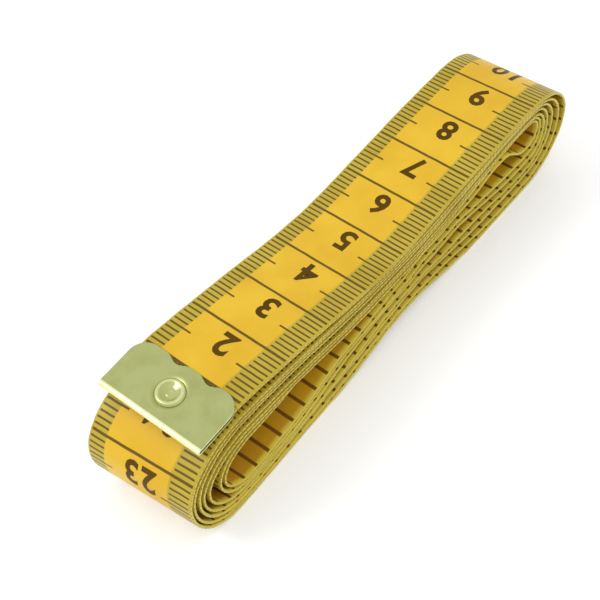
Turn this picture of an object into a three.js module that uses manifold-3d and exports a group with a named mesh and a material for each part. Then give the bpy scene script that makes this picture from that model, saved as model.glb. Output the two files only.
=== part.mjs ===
// Cloth tape measure, wound flat into an oblong coil that lies on its broad side.
// One coated strip runs from the outer metal tip along the top of the coil, round the rear bend,
// back underneath, up round the front bend and inwards again, turn by turn, to the inner metal tip.
// Millimetres. +X runs from the front bend to the rear bend, +Y across the strip, +Z up.
// The origin is at the bottom centre of the whole part.

import * as THREE from 'three';
import { mergeVertices } from 'three/addons/utils/BufferGeometryUtils.js';
import Module from 'manifold-3d';

const wasm = await Module();
wasm.setup();

// Driving dimensions. Lengthwise places are measured from the outer tip's front edge.

const CLEARANCE = 0.3; // between pieces that touch on the real object
const OVERRUN = 1; // by which a cutting tool passes the faces it cuts

const tape = {
  cutLength: 1500,
  width: 19,
  thickness: 0.45,
  edgeBevel: 0.2, // how far the edges are rounded off, taken across the strip
};

const tip = {
  depth: 10, // from the folded front edge to the back edge
  leaf: 0.35,
  sideOverhang: 0.3,
  cornerRadius: 3,
  scallopDepth: 0.6,
};

// Of the straight part of the tip's back edge, from its middle to where a corner begins.
const scallopWidthShare = 0.66;
const scallopOffsetShare = 0.62;

const rivet = {
  fromFront: 5.1,
  headRadius: 1.9,
  headHeight: 0.5,
  shankRadius: 1.1,
};

const coil = {
  frontCentre: 10, // where the front bend's upper half meets the top runs
  runLength: 80, // from there to where the rear bends begin
  frontReach: -5, // middle of the strip at the outermost front bend
  rearReach: 102.4,
  frontFoot: 3.5, // where the outermost front bend leaves the bottom run
  frontTop: 20.3, // upper face of the outermost top run above the bench
  rearTop: 20.6,
  waistDip: 3.2,
  waistRise: 2.2,
  flatRun: 16, // length of each flat that the coil stands on
};

// From one turn to the next inner one, measured between the middles of the strip.
const pitch = {
  topFront: 1.2,
  topWaist: 0.9,
  topRear: 0.9,
  bottomFront: 0.9,
  bottomWaist: 0.9,
  bottomRear: 1.8,
  frontBend: 0.9,
  frontBendGrowth: 0.165,
  rearBend: 1.8,
  foot: 1,
  underTip: 0.3, // extra room that the outer tip's lower leaf takes
};

// How the turns lie across the strip: the outer end is set back, the bottom runs lean out.
const across = {
  outerEndSetBack: 0.9,
  setBackLength: 45,
  bottomLean: 1.5,
};

// A tip keeps its end of the strip straight, and a little of the strip behind it.
const outerEnd = {
  straightBehindTip: 0.5,
  drop: 1.1, // how far the front edge lies below the run's highest part
};

const innerEnd = {
  straightBehindTip: 4.5,
  sag: 0.6, // how far it hangs clear of the run above it
};

const hinge = {
  fromRearCentre: 2, // the free end's last bend line, just before the rear bend
};

const drawInGrowth = 1.01; // from one try to the next, as a factor

// One turn of the strip is drawn in this many steps.
const steps = { topRun: 5, rearHalfTurn: 8, bottomArch: 3, frontQuarter: 3 };

const colours = { strip: '#dcb53c', metal: '#b9bf83' };

// Sizes that follow from the driving dimensions.

const rearCentre = coil.frontCentre + coil.runLength;
const halfThickness = tape.thickness / 2;
const tipHeight = tape.thickness + 2 * (CLEARANCE + tip.leaf);
const tipWidth = tape.width + 2 * tip.sideOverhang;
const stripInset = tip.leaf + CLEARANCE; // from the tip's front edge to the strip's own end
const outerStraight = tip.depth + outerEnd.straightBehindTip;
const innerStraight = tip.depth + innerEnd.straightBehindTip;
const middleX = (coil.frontReach + coil.rearReach) / 2;
const highestY = tipWidth / 2 + across.outerEndSetBack;
const lowestY = -tape.width / 2 - across.bottomLean;
const middleY = (highestY + lowestY) / 2;
const hingeX = rearCentre - hinge.fromRearCentre;

const blend = THREE.MathUtils.lerp;
const clamp01 = (value) => Math.min(Math.max(value, 0), 1);
const runShare = (x) => clamp01((x - coil.frontCentre) / coil.runLength);
const humpShare = (share) => Math.sin(Math.PI * share) ** 2;

function archShare(x) {
  const start = coil.frontCentre + coil.flatRun;
  const end = rearCentre - coil.flatRun;
  return humpShare(clamp01((x - start) / (end - start)));
}

function pitchAt(share, front, waist, rear) {
  return blend(blend(front, rear, share), waist, humpShare(share));
}

// Height of the strip's middle on the top run of one turn. Turn 0 is the outermost.
function topHeight(turn, x) {
  const share = runShare(x);
  const outer = blend(coil.frontTop, coil.rearTop, share) - coil.waistDip * humpShare(share) - halfThickness;
  const step = pitchAt(share, pitch.topFront, pitch.topWaist, pitch.topRear);
  const tipRoom = turn > 0 ? pitch.underTip * (1 - share) : 0;
  return outer - turn * step - tipRoom;
}

function bottomHeight(turn, x) {
  const step = pitchAt(runShare(x), pitch.bottomFront, pitch.bottomWaist, pitch.bottomRear);
  return halfThickness + coil.waistRise * archShare(x) + turn * step;
}

const leanAt = (x) => -across.bottomLean * (1 - runShare(x));

function setBackAt(x) {
  return across.outerEndSetBack * clamp01(1 - x / across.setBackLength);
}

// The strip's middle line as stations: x lengthwise, y across, z up.
function station(x, y, z) {
  return new THREE.Vector3(x, y, z);
}

function* topRun(turn) {
  for (let i = 0; i < steps.topRun; i += 1) {
    const x = blend(coil.frontCentre, rearCentre, i / steps.topRun);
    yield station(x, 0, topHeight(turn, x));
  }
}

function* rearBend(turn, drawIn) {
  const reach = coil.rearReach - rearCentre - turn * drawIn;
  const high = topHeight(turn, rearCentre);
  const low = bottomHeight(turn, rearCentre);
  for (let i = 0; i < steps.rearHalfTurn; i += 1) {
    const angle = (Math.PI * i) / steps.rearHalfTurn;
    const x = rearCentre + reach * Math.sin(angle);
    yield station(x, 0, blend(low, high, (1 + Math.cos(angle)) / 2));
  }
}

const footOf = (turn) => coil.frontFoot + turn * pitch.foot;

function* bottomRun(turn) {
  const archStart = rearCentre - coil.flatRun;
  const archEnd = coil.frontCentre + coil.flatRun;
  yield station(rearCentre, 0, bottomHeight(turn, rearCentre));
  for (let i = 0; i <= steps.bottomArch; i += 1) {
    const x = blend(archStart, archEnd, i / steps.bottomArch);
    yield station(x, leanAt(x), bottomHeight(turn, x));
  }
}

function frontReachOf(turn) {
  return coil.frontReach + turn * pitch.frontBend + turn * turn * pitch.frontBendGrowth;
}

function* frontBend(turn) {
  const foot = footOf(turn);
  const reach = frontReachOf(turn);
  const low = bottomHeight(turn, coil.frontCentre);
  const high = topHeight(turn + 1, coil.frontCentre);
  const middle = (low + high) / 2;
  const halfSteps = steps.frontQuarter;
  for (let i = 0; i < 2 * halfSteps; i += 1) {
    const angle = (Math.PI * i) / (2 * halfSteps);
    const centre = i < halfSteps ? foot : coil.frontCentre;
    const x = centre - (centre - reach) * Math.sin(angle);
    const lean = -across.bottomLean * (1 + Math.cos(angle)) / 2;
    yield station(x, lean, middle - (middle - low) * Math.cos(angle));
  }
}

function* turnStations(turn, drawIn) {
  yield* topRun(turn);
  yield* rearBend(turn, drawIn);
  yield* bottomRun(turn);
  yield* frontBend(turn);
}

// The free end: straight under the tip, then along the outermost top run to the hinge.
function freeEndStations() {
  const frontZ = topHeight(0, coil.frontCentre) - outerEnd.drop;
  const straightZ = topHeight(0, outerStraight);
  const heightOnStraight = (x) => blend(frontZ, straightZ, x / outerStraight);
  const stations = [
    station(stripInset, setBackAt(stripInset), heightOnStraight(stripInset)),
    station(outerStraight, setBackAt(outerStraight), straightZ),
  ];
  for (let i = 1; i < steps.topRun; i += 1) {
    const x = blend(coil.frontCentre, rearCentre, i / steps.topRun);
    stations.push(station(x, setBackAt(x), topHeight(0, x)));
  }
  stations.push(station(hingeX - CLEARANCE / 2, 0, topHeight(0, hingeX)));
  return stations;
}

function lengthOf(stations) {
  let total = 0;
  for (let i = 1; i < stations.length; i += 1) total += stations[i].distanceTo(stations[i - 1]);
  return total;
}

// The wound part of the strip: from the hinge inwards until the whole length is used up.
// Each turn's rear bend lies further in than the one before by drawIn.
function coilStations(length, drawIn) {
  const stations = [station(hingeX + CLEARANCE / 2, 0, topHeight(0, hingeX))];
  let left = length;
  const take = (next) => {
    const last = stations[stations.length - 1];
    const step = last.distanceTo(next);
    const reached = step >= left;
    stations.push(reached ? last.clone().lerp(next, left / step) : next);
    left -= step;
    return reached;
  };
  for (const next of rearBend(0, drawIn)) if (take(next)) return stations;
  for (const next of bottomRun(0)) if (take(next)) return stations;
  for (const next of frontBend(0)) if (take(next)) return stations;
  for (let turn = 1; ; turn += 1) {
    for (const next of turnStations(turn, drawIn)) if (take(next)) return stations;
  }
}

const headsRearwards = ([before, end]) => end.x > before.x;

function endsOnRun(stations) {
  const lastPanel = stations.slice(-2);
  const endX = lastPanel[1].x;
  const passed = headsRearwards(lastPanel) ? endX - coil.frontCentre : rearCentre - endX;
  return passed > innerStraight + tape.thickness && passed < coil.runLength;
}

// The inner tip lies flat along a run. Where the strip would end in a bend, the rear bends
// are drawn in further, a little at a time, until it ends on a run.
function windInwards(length) {
  let drawIn = pitch.rearBend;
  let stations = coilStations(length, drawIn);
  while (!endsOnRun(stations)) {
    drawIn *= drawInGrowth;
    stations = coilStations(length, drawIn);
  }
  return straightenInnerEnd(stations);
}

// Lays the last stretch straight for the inner tip, a little inside the turn around it.
function straightenInnerEnd(stations) {
  const end = stations[stations.length - 1].clone();
  const onward = end.clone().sub(stations[stations.length - 2]).setY(0).setZ(0).normalize();
  const start = end.clone().addScaledVector(onward, -innerStraight);
  while (Math.abs(stations[stations.length - 1].x - end.x) < innerStraight + tape.thickness) stations.pop();
  start.z = end.z = end.z - innerEnd.sag * Math.sign(onward.x);
  stations.push(start, end);
  return stations;
}

// A strip of six-sided section along the stations. Each ring is mitred, so every panel
// keeps the strip's full thickness.
function sectionPoints() {
  const edge = tape.width / 2;
  const shoulder = edge - tape.edgeBevel;
  return [
    [-edge, 0],
    [-shoulder, halfThickness],
    [shoulder, halfThickness],
    [edge, 0],
    [shoulder, -halfThickness],
    [-shoulder, -halfThickness],
  ];
}

function upwardNormals(stations) {
  return stations.map((point, i) => {
    const before = stations[Math.max(i - 1, 0)];
    const after = stations[Math.min(i + 1, stations.length - 1)];
    const incoming = point.clone().sub(before).setY(0).normalize();
    const outgoing = after.clone().sub(point).setY(0).normalize();
    if (i === 0) incoming.copy(outgoing);
    if (i === stations.length - 1) outgoing.copy(incoming);
    const along = incoming.clone().add(outgoing).normalize();
    const normal = new THREE.Vector3(-along.z, 0, along.x);
    return normal.divideScalar(along.dot(incoming));
  });
}

function stripGeometry(stations) {
  const section = sectionPoints();
  const sides = section.length;
  const normals = upwardNormals(stations);
  const positions = [];
  stations.forEach((point, i) => {
    for (const [acrossStrip, throughStrip] of section) {
      const corner = point.clone().addScaledVector(normals[i], throughStrip);
      positions.push(corner.x, corner.y + acrossStrip, corner.z);
    }
  });
  const index = [];
  for (let ring = 0; ring + 1 < stations.length; ring += 1) {
    for (let side = 0; side < sides; side += 1) {
      const a = ring * sides + side;
      const b = ring * sides + ((side + 1) % sides);
      index.push(a, a + sides, b, b, a + sides, b + sides);
    }
  }
  const last = (stations.length - 1) * sides;
  for (let side = 1; side + 1 < sides; side += 1) {
    index.push(0, side, side + 1);
    index.push(last, last + side + 1, last + side);
  }
  const geometry = new THREE.BufferGeometry();
  geometry.setAttribute('position', new THREE.Float32BufferAttribute(positions, 3));
  geometry.setIndex(index);
  return geometry;
}

// Least distance between the facing surfaces of one turn and the next, seen from the side.
function leastGap(stations) {
  const normals = upwardNormals(stations);
  const faceLine = (side) => stations.map((point, i) => point.clone().addScaledVector(normals[i], side).setY(0));
  const outer = faceLine(halfThickness);
  const inner = faceLine(-halfThickness);
  const nearestOnPanel = new THREE.Vector3();
  let least = Infinity;
  const halfTurn = steps.topRun + steps.rearHalfTurn;
  for (let panel = 0; panel + 1 < inner.length; panel += 1) {
    const line = new THREE.Line3(inner[panel], inner[panel + 1]);
    for (let i = 0; i < outer.length; i += 1) {
      if (Math.abs(i - panel) < halfTurn) continue;
      line.closestPointToPoint(outer[i], true, nearestOnPanel);
      least = Math.min(least, nearestOnPanel.distanceTo(outer[i]));
    }
    const backLine = new THREE.Line3(outer[panel], outer[panel + 1]);
    for (let i = 0; i < inner.length; i += 1) {
      if (Math.abs(i - panel) < halfTurn) continue;
      backLine.closestPointToPoint(inner[i], true, nearestOnPanel);
      least = Math.min(least, nearestOnPanel.distanceTo(inner[i]));
    }
  }
  return least;
}

// Solids for joining and cutting.

function toSolid(geometry) {
  const bare = geometry.clone();
  bare.deleteAttribute('normal');
  bare.deleteAttribute('uv');
  const merged = mergeVertices(bare);
  return new wasm.Manifold(new wasm.Mesh({
    numProp: 3,
    vertProperties: new Float32Array(merged.attributes.position.array),
    triVerts: new Uint32Array(merged.index.array),
  }));
}

function toGeometry(solid) {
  const { vertProperties, triVerts } = solid.getMesh();
  const geometry = new THREE.BufferGeometry();
  geometry.setAttribute('position', new THREE.Float32BufferAttribute(vertProperties, 3));
  geometry.setIndex(Array.from(triVerts));
  return geometry;
}

// A tip is drawn on the strip's own axes: x back from its front edge, y across, z through.

const boreRadius = rivet.shankRadius + CLEARANCE;
const curveSteps = 8;
const boreSteps = 24;

// Side view of the folded plate: two leaves joined by a round fold at the front.
function foldedProfile() {
  const outer = tipHeight / 2;
  const inner = outer - tip.leaf;
  const back = tip.depth + OVERRUN;
  const shape = new THREE.Shape();
  shape.moveTo(back, -outer);
  shape.lineTo(back, -inner);
  shape.absarc(outer, 0, inner, -Math.PI / 2, Math.PI / 2, true);
  shape.lineTo(back, inner);
  shape.lineTo(back, outer);
  shape.absarc(outer, 0, outer, Math.PI / 2, (3 * Math.PI) / 2, false);
  shape.closePath();
  return shape;
}

// Plan of the leaves: rounded back corners and two shallow scallops in the back edge.
function leafPlan() {
  const side = tipWidth / 2;
  const { depth, cornerRadius, scallopDepth } = tip;
  const straightHalf = side - cornerRadius;
  const scallopHalf = (straightHalf * scallopWidthShare) / 2;
  const scallopOffset = straightHalf * scallopOffsetShare;
  const shape = new THREE.Shape();
  shape.moveTo(-OVERRUN, -side);
  shape.lineTo(depth - cornerRadius, -side);
  shape.absarc(depth - cornerRadius, -side + cornerRadius, cornerRadius, -Math.PI / 2, 0, false);
  for (const middle of [-scallopOffset, scallopOffset]) {
    shape.lineTo(depth, middle - scallopHalf);
    shape.quadraticCurveTo(depth - 2 * scallopDepth, middle, depth, middle + scallopHalf);
  }
  shape.absarc(depth - cornerRadius, side - cornerRadius, cornerRadius, 0, Math.PI / 2, false);
  shape.lineTo(-OVERRUN, side);
  shape.closePath();
  return shape;
}

function boreAt(x, height) {
  const bore = new THREE.CylinderGeometry(boreRadius, boreRadius, height, boreSteps);
  bore.rotateX(Math.PI / 2);
  bore.translate(x, 0, 0);
  return bore;
}

function tipGeometry() {
  const deep = tipWidth + 2 * OVERRUN;
  const fold = new THREE.ExtrudeGeometry(foldedProfile(), {
    depth: deep, bevelEnabled: false, curveSegments: curveSteps,
  });
  fold.translate(0, 0, -deep / 2);
  fold.rotateX(Math.PI / 2);
  const high = tipHeight + 2 * OVERRUN;
  const plan = new THREE.ExtrudeGeometry(leafPlan(), {
    depth: high, bevelEnabled: false, curveSegments: curveSteps,
  });
  plan.translate(0, 0, -high / 2);
  const plate = toSolid(fold).intersect(toSolid(plan));
  return toGeometry(plate.subtract(toSolid(boreAt(rivet.fromFront, high))));
}

// A domed head on the upper leaf, and a shank set flush with the lower leaf.
function rivetGeometry() {
  const seat = tipHeight / 2 + CLEARANCE;
  const dome = new THREE.Path();
  dome.moveTo(0, -tipHeight / 2);
  dome.lineTo(rivet.shankRadius, -tipHeight / 2);
  dome.lineTo(rivet.shankRadius, seat);
  dome.lineTo(rivet.headRadius, seat);
  dome.quadraticCurveTo(rivet.headRadius, seat + rivet.headHeight, 0, seat + rivet.headHeight);
  const lathe = new THREE.LatheGeometry(dome.getPoints(curveSteps / 2), boreSteps);
  lathe.rotateX(Math.PI / 2);
  lathe.translate(rivet.fromFront, 0, 0);
  return lathe;
}

// Where a tip sits: its front edge, the direction in which the strip leaves it, and the face
// that its rivet's head is on, which is the face whose scale starts at that end.
function seatOn(object, end) {
  const { at: endStation, next: nextStation, headUp } = end;
  const back = nextStation.clone().sub(endStation).setY(0).normalize();
  const lift = new THREE.Vector3(-back.z, 0, back.x);
  if (lift.z > 0 !== headUp) lift.negate();
  const sideways = lift.clone().cross(back);
  const basis = new THREE.Matrix4().makeBasis(back, sideways, lift);
  object.quaternion.setFromRotationMatrix(basis);
  object.position.copy(endStation).addScaledVector(back, -stripInset);
}

function pierced(stripShape, end) {
  const tool = new THREE.Object3D();
  seatOn(tool, end);
  tool.updateMatrix();
  const bore = boreAt(rivet.fromFront, tipHeight);
  bore.applyMatrix4(tool.matrix);
  return toGeometry(toSolid(stripShape).subtract(toSolid(bore)));
}

// Materials.

const stripMaterial = new THREE.MeshStandardMaterial({
  color: colours.strip, roughness: 0.55, metalness: 0, flatShading: true,
});
const metalMaterial = new THREE.MeshStandardMaterial({
  color: colours.metal, roughness: 0.35, metalness: 0.9, flatShading: true,
});

function piece(name, geometry, material) {
  const mesh = new THREE.Mesh(geometry, material);
  mesh.name = name;
  return mesh;
}

// Assembly.

const freeLine = freeEndStations();
const coilLine = windInwards(tape.cutLength - stripInset - lengthOf(freeLine));
const innerPanel = coilLine.slice(-2);
const [beforeInnermost, innermost] = innerPanel;
const ends = {
  outer: { at: freeLine[0], next: freeLine[1], headUp: true },
  inner: { at: innermost, next: beforeInnermost, headUp: !headsRearwards(innerPanel) },
};

const part = new THREE.Group();
part.position.set(-middleX, -middleY, 0);

const freeStrip = pierced(stripGeometry(freeLine), ends.outer);
const coilStrip = pierced(stripGeometry(coilLine), ends.inner);
part.add(piece('tape_free_end', freeStrip, stripMaterial));
part.add(piece('tape_coil', coilStrip, stripMaterial));

for (const [side, end] of Object.entries(ends)) {
  const group = new THREE.Group();
  group.add(piece(`${side}_tip`, tipGeometry(), metalMaterial));
  group.add(piece(`${side}_tip_rivet`, rivetGeometry(), metalMaterial));
  seatOn(group, end);
  part.add(group);
}

console.log(`strip length ${(stripInset + lengthOf(freeLine) + lengthOf(coilLine)).toFixed(1)}`);
console.log(`least gap of the winding to itself ${leastGap(coilLine).toFixed(3)}`);
const whole = [...coilLine].reverse().concat([...freeLine].reverse());
console.log(`least gap with the free end laid down ${leastGap(whole).toFixed(3)}`);
const hingeAt = station(hingeX - middleX, -middleY, topHeight(0, hingeX) + halfThickness);
console.log(`hinge line at ${hingeAt.toArray().map((v) => v.toFixed(3)).join(', ')}`);
console.log(`inner end at ${innermost.toArray().map((v) => v.toFixed(3)).join(', ')}`);

export default part;
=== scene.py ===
# %% [markdown]
# # A tailor's tape measure, wound flat
#
# The real thing is one strip of woven glass fibre, coated with soft vinyl and printed with
# a centimetre scale on one face and an inch scale on the other. Each end carries a folded
# metal tip. This lesson winds the strip the way a hand does: it is made flat first, and
# then every point of it is carried to its place in the coil.

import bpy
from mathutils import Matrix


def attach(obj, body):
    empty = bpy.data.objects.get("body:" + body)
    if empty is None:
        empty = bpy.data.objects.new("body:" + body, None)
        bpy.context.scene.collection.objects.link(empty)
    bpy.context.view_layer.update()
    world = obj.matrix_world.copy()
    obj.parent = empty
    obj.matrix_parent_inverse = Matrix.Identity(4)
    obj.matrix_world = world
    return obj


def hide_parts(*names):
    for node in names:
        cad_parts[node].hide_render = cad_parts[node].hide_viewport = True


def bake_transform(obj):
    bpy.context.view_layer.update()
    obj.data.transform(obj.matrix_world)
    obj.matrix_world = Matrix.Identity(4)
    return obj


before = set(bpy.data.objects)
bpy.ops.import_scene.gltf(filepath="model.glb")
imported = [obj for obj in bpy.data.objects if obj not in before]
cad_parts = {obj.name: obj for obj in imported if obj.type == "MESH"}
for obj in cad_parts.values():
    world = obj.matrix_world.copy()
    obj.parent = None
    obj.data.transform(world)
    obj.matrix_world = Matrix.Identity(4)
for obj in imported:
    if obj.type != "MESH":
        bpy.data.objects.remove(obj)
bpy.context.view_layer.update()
print("frame nodes:", sorted(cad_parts))

# %% The tools of the lesson
import math

import bmesh
import bpy
import numpy as np
from mathutils import Matrix, Vector

MM = 0.001
print("Blender", bpy.app.version_string)

# %% [markdown]
# ## The winding
#
# Seen from the side, the coil is a flat oval. Each turn has a top run, a bend at the rear,
# a bottom run and a bend at the front, and the next turn lies inside it. The sizes were
# measured in the photograph, in millimetres from the outer tip's front edge: x runs to the
# rear, z up from the bench. Layers that lean on each other are half a millimetre apart,
# and the rear ends of the bottom runs fan out wide.

# %% Sizes of the strip and the coil
STRIP_LENGTH = 1500.0
STRIP_WIDTH = 19.0
STRIP_THICKNESS = 0.45
STRIP_INSET = 0.5  # from a tip's front edge to the strip's own end
TIP_DEPTH = 10.0

FRONT_CENTRE = 10.0
REAR_CENTRE = 90.0
FLAT_RUN = 16.0
TOP_FRONT, TOP_REAR = 20.3, 20.6
WAIST_DIP, WAIST_RISE = 3.2, 2.2
TOP_STEP_PLACES = (10, 30, 50, 90)
TOP_STEPS = (1.28, 1.17, 0.95, 0.62)  # from layer to layer, at those places along the coil
BOTTOM_STEP_PLACES = (10, 18, 32, 42, 51, 59, 69)
BOTTOM_STEPS = (0.68, 0.80, 1.17, 1.06, 1.06, 1.45, 1.90)
TOP_PLACES = (0, 0.85, 1.70, 2.55, 4.10, 5.00, 5.95, 7.0)  # in steps: layers lie in bunches
BOTTOM_PLACES = (0, 0.80, 2.05, 2.85, 4.15, 5.10, 6.0)
WAVE = 0.14  # how far a loose run waves up and down, where the runs lie a millimetre wider apart
WAVE_LENGTH, WAVE_SHIFT = 3.6, 2.1  # of that wave, and how far it moves on from turn to turn
UNDER_TIP = 0.3  # more room under the outermost run, for the tip's lower leaf
OVER_INNER_TIP = 0.22  # and over the innermost run, for the upper leaf of the inner tip
INNER_TIP_ROOM = (18, 38)  # where that room opens
TIP_DROP = 1.1  # how far the outer tip's front edge hangs
FRONT_REACHES = (-5.0, -4.2, -3.05, -2.0, -0.75, 1.8, 2.9)
REAR_REACHES = (102.4, 99.9, 97.7, 95.8, 94.3, 93.2, 92.2)
FRONT_FEET = (3.5, 4.0, 4.5, 5.0, 5.5, 7.0, 7.8)  # where each bottom run ends
FRONT_HEADS = (7.5, 8.5, 9.5, 10.0, 10.0, 10.0, 10.0)  # where the top run after it starts
TURNS = len(FRONT_REACHES)
SPRUNG_RUN = (68.0, 79.0, 80.5, 87.5)  # where the innermost bottom run leaves the others
TURN_GAP = 0.1  # left where it rises to the run above it

# The part's own origin is the middle of the coil's box.
ORIGIN = np.array([48.7, -0.15, 0.0])
print(f"{TURNS} whole turns, {STRIP_WIDTH} by {STRIP_THICKNESS} mm strip")

# %% Heights of the runs
def between(a, b, share):
    return a + (b - a) * share


def run_share(x):
    return np.clip((x - FRONT_CENTRE) / (REAR_CENTRE - FRONT_CENTRE), 0, 1)


def hump(share):
    return np.sin(np.pi * share) ** 2


def eased(value, start, end):
    """0 before the start, 1 after the end, and a soft S between them."""
    share = np.clip((value - start) / (end - start), 0, 1)
    return share * share * (3 - 2 * share)


def through(x, places, values):
    """A soft line that passes through the values at their places."""
    result = values[0]
    for start, end, low, high in zip(places, places[1:], values, values[1:]):
        result = result + (high - low) * eased(x, start, end)
    return result


def top_height(turn, x):
    share = run_share(x)
    outermost = between(TOP_FRONT, TOP_REAR, share) - WAIST_DIP * hump(share) - STRIP_THICKNESS / 2
    tip_room = UNDER_TIP * (1 - share) if turn else 0
    if turn == TURNS:
        tip_room = tip_room + OVER_INNER_TIP * eased(x, *INNER_TIP_ROOM)
    return outermost - TOP_PLACES[turn] * through(x, TOP_STEP_PLACES, TOP_STEPS) - tip_room


def bottom_height(turn, x):
    start, end = FRONT_CENTRE + FLAT_RUN, REAR_CENTRE - FLAT_RUN
    arch = hump(np.clip((x - start) / (end - start), 0, 1))
    step = through(x, BOTTOM_STEP_PLACES, BOTTOM_STEPS)
    height = STRIP_THICKNESS / 2 + WAIST_RISE * arch + BOTTOM_PLACES[turn] * step
    if 0 < turn < TURNS - 1:
        height += WAVE * (step - BOTTOM_STEPS[0]) * np.sin(x / WAVE_LENGTH + WAVE_SHIFT * turn)
    if turn < TURNS - 1:
        return height
    sprung = eased(x, *SPRUNG_RUN[:2]) * (1 - eased(x, *SPRUNG_RUN[2:]))
    return between(height, top_height(turn, x) - STRIP_THICKNESS - TURN_GAP, sprung)


print("outermost run at the waist:", round(float(top_height(0, 50.0)), 2), "mm above the bench")

# %% [markdown]
# A strip wound by hand never lines up edge to edge. The outer end is set back to one side,
# the bottom runs lean out to the other, and at the waist the inner bottom layers lie
# further in, so that their marks show as rows of dots. Every layer strays a little. Slow
# sine waves with a different start for each turn give that without any chance, so each run
# of the script makes the same coil.

# %% Sideways places of the runs
OUTER_PLACES, OUTER_SIDES = (0, 22, 45, 62, 85), (0.9, 0.2, -0.1, 0.25, 0.0)
LEAN_PLACES, BOTTOM_LEANS = (2, 30, 55, 75, 90), (2.3, 1.5, 0.65, 0.95, 0.9)
BOTTOM_INWARD = (-0.1, 0.05, 0.35, 0.40, 0.65, 0.70, 0.95)  # of each bottom run at the waist
WAIST_STARTS, WAIST_ENDS = (20, 38), (72, 84)
LESS_LEAN = 0.05  # share of the lean that each turn inwards has less
UNDER_OUTERMOST, UNDER_OUTERMOST_ENDS = 0.15, (5, 45)  # the second run shows under the first
INNER_END_INWARD, INNER_END_STARTS = 1.3, (12, 34)


def sway(x, reach, length, start):
    return reach * np.sin(x / length + start)


def top_side(turn, x):
    if turn == 0:
        return through(x, OUTER_PLACES, OUTER_SIDES)
    stray = sway(x, 0.06, 9, 1.9 * turn) + 0.03 * turn
    if turn == 1:
        return stray - UNDER_OUTERMOST * (1 - eased(x, *UNDER_OUTERMOST_ENDS))
    return stray + (INNER_END_INWARD * eased(x, *INNER_END_STARTS) if turn == TURNS else 0)


def bottom_side(turn, x):
    stray = sway(x, 0.06, 13, 2.3 * turn + 1) + sway(x, 0.12, 5.3, 1.7 * turn) if turn else 0
    inward = BOTTOM_INWARD[turn] * eased(x, *WAIST_STARTS) * (1 - eased(x, *WAIST_ENDS))
    return stray + inward - through(x, LEAN_PLACES, BOTTOM_LEANS) * (1 - LESS_LEAN * turn)


leans = [round(float(bottom_side(0, x)), 2) for x in (2, 50, 90)]
print("the lowest run leans out by", leans, "mm")

# %% One line from the outer tip to the inner one
STRAIGHT_END = TIP_DEPTH + 0.5  # the outer tip keeps its end of the strip straight
FIRST_STATION = STRAIGHT_END + 0.2
END_POINTS, TOP_POINTS, REAR_POINTS, BOTTOM_POINTS, FRONT_POINTS = 30, 160, 80, 170, 120


def turn_stations(turn):
    """Points of one turn's middle line: top run, rear bend, bottom run, front bend."""
    start = FRONT_HEADS[turn - 1] if turn else FIRST_STATION
    x = np.linspace(start, REAR_CENTRE, TOP_POINTS)[:-1]
    yield x, top_side(turn, x), top_height(turn, x)
    if turn == TURNS:
        return
    angle = np.linspace(0, np.pi, REAR_POINTS)[:-1]
    share = (1 + np.cos(angle)) / 2
    reach = REAR_REACHES[turn] - REAR_CENTRE
    side = between(bottom_side(turn, REAR_CENTRE), top_side(turn, REAR_CENTRE), share)
    height = between(bottom_height(turn, REAR_CENTRE), top_height(turn, REAR_CENTRE), share)
    yield REAR_CENTRE + reach * np.sin(angle), side, height
    foot, head = FRONT_FEET[turn], FRONT_HEADS[turn]
    x = np.linspace(REAR_CENTRE, foot, BOTTOM_POINTS)[:-1]
    yield x, bottom_side(turn, x), bottom_height(turn, x)
    angle = np.linspace(0, np.pi, FRONT_POINTS)[:-1]
    share = (1 + np.cos(angle)) / 2
    centre = np.where(angle < np.pi / 2, foot, head)
    side = between(top_side(turn + 1, head), bottom_side(turn, foot), share)
    low, high = bottom_height(turn, FRONT_CENTRE), top_height(turn + 1, FRONT_CENTRE)
    height = between(high, low, share)
    yield centre - (centre - FRONT_REACHES[turn]) * np.sin(angle), side, height


def rough_line():
    x = np.linspace(0, STRAIGHT_END, END_POINTS)
    front = top_height(0, FRONT_CENTRE) - TIP_DROP
    pieces = [(x, top_side(0, x), between(front, top_height(0, STRAIGHT_END), x / STRAIGHT_END))]
    for turn in range(TURNS + 1):
        pieces += turn_stations(turn)
    return np.concatenate([np.stack(np.broadcast_arrays(*piece), 1) for piece in pieces])


def lengths_along(points):
    steps = np.linalg.norm(np.diff(points, axis=0), axis=1)
    return np.concatenate([[0], np.cumsum(steps)])


rough = rough_line()
print(f"the drawn line is {lengths_along(rough)[-1]:.0f} mm, the strip takes {STRIP_LENGTH:.0f}")

# %% [markdown]
# Vinyl doesn't kink. The line is read at even steps and averaged over a millimetre or so
# each way, which rounds the places where a run meets a bend. From it come the direction
# along the strip and the direction out of its printed face.
#
# The first turn is matched to the printed scale: its 23 centimetre line shows just
# under the tip. The turns inside it are read off the photograph, and don't come out
# at exactly the strip that is left. Both are counted a little short or long for that, and
# the inner end lies where the frame has it.

# %% Smooth the line and find its directions
LINE_STEP = 0.25
TOP_RUN, FIRST_TURN, FIRST_COUNT = 110.0, 240.0, 238.3  # the last is counted for the second
INNER_END_X = 50.9
LAST_RUN = 90  # length of the line in which the inner end is looked for


def smoothed(points, reach):
    along = lengths_along(points)
    even = np.linspace(0, along[-1], int(along[-1] / LINE_STEP))
    result = []
    for axis in range(3):
        values = np.interp(even, along, points[:, axis])
        width = int(4 * reach[axis] / LINE_STEP)
        offsets = np.arange(-width, width + 1) * LINE_STEP
        weights = np.exp(-0.5 * (offsets / reach[axis]) ** 2)
        before = 2 * values[0] - values[width:0:-1]
        after = 2 * values[-1] - values[-2:-width - 2:-1]
        padded = np.concatenate([before, values, after])
        result.append(np.convolve(padded, weights / weights.sum(), "valid"))
    return np.stack(result, 1)


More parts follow.
